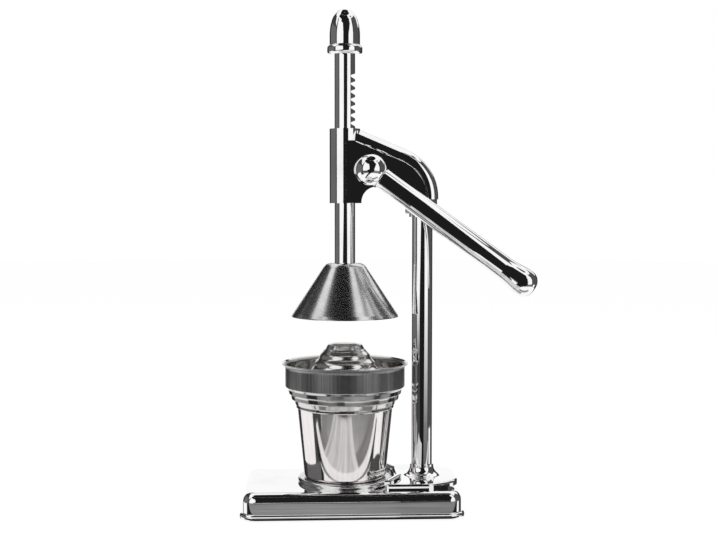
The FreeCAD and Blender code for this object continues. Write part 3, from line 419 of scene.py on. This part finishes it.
def addRings(look, rodX):
    steps = 72
    turns = 96
    points = []
    faces = []
    for step in range(steps + 1):
        part = step / steps
        height = look["foot"] + (look["head"] - look["foot"]) * part
        radius = look["footRadius"] + (look["headRadius"] - look["footRadius"]) * part + look["lift"]
        below = (look["head"] - height) / look["pitch"]
        radius += look["swell"] * (0.5 - 0.5 * math.cos(math.tau * below))
        for turn in range(turns):
            angle = math.tau * turn / turns
            points.append(placed(rodX, radius * math.cos(angle), radius * math.sin(angle), height))
        if step:
            faces += between((step - 1) * turns, turns)
    rings = newObject("reamerRings", points, faces, ownFinishes["reamer_cone"])
    fit(rings, "cup_set")


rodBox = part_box("rack_rod")
rodX = (rodBox[0][0] + rodBox[1][0]) * 500  # the rod's line, in millimetres
addCheeks(headLook, rodX)
addBead(headLook, rodX)
addRings(ringLook, rodX)
print("head and reamer dressed")

# The camera stands where the photograph was taken: metres from the rod's line, degrees, millimetres
cameraLook = {"aside": -0.038, "back": -1.101, "height": 0.279, "down": 3.1, "right": 2.6, "lens": 60.5}


def addCamera(look, rodX):
    lens = bpy.data.cameras.new("camera")
    lens.lens = look["lens"]
    camera = bpy.data.objects.new("camera", lens)
    camera.location = (rodX / 1000 + look["aside"], look["back"], look["height"])
    camera.rotation_euler = (math.radians(90 - look["down"]), 0, -math.radians(look["right"]))
    bpy.context.scene.collection.objects.link(camera)
    bpy.context.scene.camera = camera


addCamera(cameraLook, rodX)
print("camera placed")

# The studio: a white room and floor, and boards and cards that only the metal mirrors. Lengths are metres,
# the lamp's tilt is degrees
studioLook = {
    "roomLight": 0.6,
    "floorRadius": 5,
    "floorCorners": 96,
    "floorWhite": 0.8,
    "floorGlow": 0.86,
    "floorGlowStrength": 1.07,
    "lampSize": 1.6,
    "lampPower": 22,
    "lampPlace": (-0.5, -0.6, 1.8),
    "lampTilt": (20, -16),
    "boardDistance": 3,
}
# Each row of a board is its elevation and its two azimuths in degrees, 0 behind the camera and growing
# towards the post's side; its shade goes from the lowest row to the highest, and near is how much less than
# the common distance it stands away
boards = {
    "lensSide": {"near": 0.1, "shade": (0.012, 0.012), "rows": [
        (-50, -70, -50), (-44, -58, -34), (-32, -37, -18), (-23, -24, -4), (-13, -22, 14), (-2, -32, 24),
        (0, -30, 24), (3, -22, 23), (6, -15, 21), (20, -14, 28), (42, -20, 43), (46, -40, 40), (54, -74, 33),
        (62, -84, 33), (69, -84, 33)]},
    "pressSide": {"near": 0, "shade": (0.02, 0.02), "rows": [(53, 58, 78), (59, 62, 84)]},
    "ceiling": {"near": 0, "shade": (0.012, 0.012), "rows": [
        (69, -180, 180), (79, -180, 180), (89, -180, 180)]},
    "cupSideTable": {"near": 0, "shade": (0.06, 0.06), "rows": [(-13, -64, -20), (-5, -64, -20)]},
    "cupSideFade": {"near": 0, "shade": (0.06, 1), "rows": [(-5, -64, -20), (-0.5, -64, -20)]},
    "postSideTable": {"near": 0, "shade": (0.1, 0.2), "rows": [(-13, 10, 62), (-9, 10, 62)]},
    "postSideFade": {"near": 0, "shade": (0.2, 1), "rows": [(-9, 10, 62), (-0.5, 10, 62)]},
    "nearTable": {"near": 0, "shade": (0.4, 0.06), "rows": [(-22, -62, 62), (-13, -62, 62)]},
    "cupSideLow": {"near": 0, "shade": (0.06, 0.06), "rows": [(-26, -88, -62), (-9, -88, -64)]},
    "cupSideLine": {"near": 0.05, "shade": (0.015, 0.015), "rows": [(-9, -72, -64), (48, -72, -64)]},
    "cupSideWall": {"near": 0, "shade": (0.14, 0.14), "rows": [(-9, -130, -70), (30, -130, -70)]},
    "cupSideRise": {"near": 0, "shade": (0.05, 0.05), "rows": [
        (30, -130, -70), (38, -134, -88), (48, -140, -104)]},
    "cupSideBack": {"near": 0, "shade": (0.03, 0.03), "rows": [
        (-26, -160, -143), (-9, -160, -136), (-9, -160, -130), (44, -160, -130)]},
    "postSideLow": {"near": 0, "shade": (0.12, 0.12), "rows": [(-22, 62, 80), (-9, 62, 80)]},
    "postSideEdge": {"near": 0, "shade": (0.05, 0.05), "rows": [(-22, 104, 160), (-9, 104, 160)]},
    "postSideLine": {"near": 0.05, "shade": (0.015, 0.015), "rows": [(-9, 62, 69), (48, 62, 69)]},
    "postSideWall": {"near": 0, "shade": (0.08, 0.08), "rows": [(-9, 67, 124), (48, 67, 124)]},
    "postSideBack": {"near": 0, "shade": (0.03, 0.03), "rows": [(-9, 124, 160), (24, 124, 160)]},
    "backLine": {"near": 0.05, "shade": (0.02, 0.02), "rows": [(19, 150, 210), (28, 150, 210)]},
}


def seenDirectly(graph):
    def ray(name):
        return graph.node("ShaderNodeLightPath", out=name)
    return ray("Is Camera Ray").top(ray("Is Glossy Ray")).top(ray("Is Transmission Ray"))


def addRoom(look):
    world = bpy.data.worlds.new("whiteRoom")
    bpy.context.scene.world = world
    graph = Graph(world)
    strength = look["roomLight"] + seenDirectly(graph) * (1 - look["roomLight"])
    light = graph.node("ShaderNodeBackground", {}, {"Color": grey(1), "Strength": strength})
    graph.node("ShaderNodeOutputWorld", {}, {"Surface": light})


def addFloor(look):
    graph = newGraph("paperFloor")
    paper = graph.node("ShaderNodeBsdfDiffuse", {}, {"Color": grey(look["floorWhite"])})
    glow = graph.glow(grey(1), look["floorGlowStrength"])
    factor = seenDirectly(graph) * look["floorGlow"]
    finish = graph.output(graph.node("ShaderNodeMixShader", {}, {0: factor, 1: paper, 2: glow}))
    radius, corners = look["floorRadius"], look["floorCorners"]
    turns = [math.tau * step / corners for step in range(corners)]
    rim = [(radius * math.cos(turn), radius * math.sin(turn), 0) for turn in turns]
    floor = newObject("paperFloor", rim, [tuple(range(corners))], finish)
    floor.visible_glossy = False


def mirrorsOnly(thing):
    thing.visible_camera = False
    thing.visible_diffuse = False
    thing.visible_shadow = False


def addBoard(name, look, distance):
    rows = look["rows"]
    reach = distance - look["near"]
    steps = 16
    points = []
    for rise, first, last in rows:
        up = math.radians(rise)
        for step in range(steps + 1):
            turn = math.radians(first + (last - first) * step / steps)
            across = reach * math.cos(up)
            points.append((across * math.sin(turn), -across * math.cos(turn), reach * math.sin(up)))
    faces = []
    for row in range(len(rows) - 1):
        for step in range(steps):
            corner = row * (steps + 1) + step
            faces.append((corner, corner + 1, corner + steps + 2, corner + steps + 1))
    graph = newGraph(name)
    low, high = (reach * math.sin(math.radians(rows[end][0])) for end in (0, -1))
    colour = graph.mixed(graph.spread(graph.height(), low, high), *map(grey, look["shade"]))
    mirrorsOnly(newObject(name, points, faces, graph.output(graph.glow(colour))))


# Cards on the table, seen only in the metal: a grey one for the pan's front face, a black one under its
# foot bead, a white one over that and a pale one before the cup. Edges are left, right, near and far
cards = {
    "panCard": {"edges": (-0.25, 0.25, -0.08, -0.16), "height": 0, "shades": (0.16, 0.3),
                "streaks": (6, 60, 1)},
    "beadCard": {"edges": (-0.25, 0.25, -0.0605, -0.08), "height": 0, "shades": (0.01, 0.02),
                 "streaks": (6, 60, 1)},
    "lineCard": {"edges": (-0.25, 0.25, -0.066, -0.087), "height": 0.018, "shades": (0.8, 1),
                 "streaks": (6, 60, 1)},
    "cupCard": {"edges": (-0.15, 0.012, -0.09, -0.23), "height": 0.016, "shades": (0.42, 0.85),
                "streaks": (60, 3, 1)},
}
cloudRange = (0.3, 0.7)


def addCard(name, look):
    graph = newGraph(name)
    cloud = graph.noise(graph.stretched(look["streaks"]), 1, 4, 0.6)
    colour = graph.mixed(graph.spread(cloud, *cloudRange), *map(grey, look["shades"]))
    left, right, near, far = look["edges"]
    high = look["height"]
    corners = [(left, near, high), (right, near, high), (right, far, high), (left, far, high)]
    mirrorsOnly(newObject(name, corners, [(0, 1, 2, 3)], graph.output(graph.glow(colour))))


def addLamp(look):
    data = bpy.data.lights.new("softLamp", "AREA")
    data.size = look["lampSize"]
    data.energy = look["lampPower"]
    lamp = bpy.data.objects.new("softLamp", data)
    lamp.location = look["lampPlace"]
    lamp.rotation_euler = (*map(math.radians, look["lampTilt"]), 0)
    lamp.visible_glossy = False
    bpy.context.scene.collection.objects.link(lamp)


addRoom(studioLook)
addFloor(studioLook)
for name, look in boards.items():
    addBoard(name, look, studioLook["boardDistance"])
for name, look in cards.items():
    addCard(name, look)
addLamp(studioLook)
print("studio built:", len(boards), "boards")

bpy.context.scene.view_settings.view_transform = "Standard"
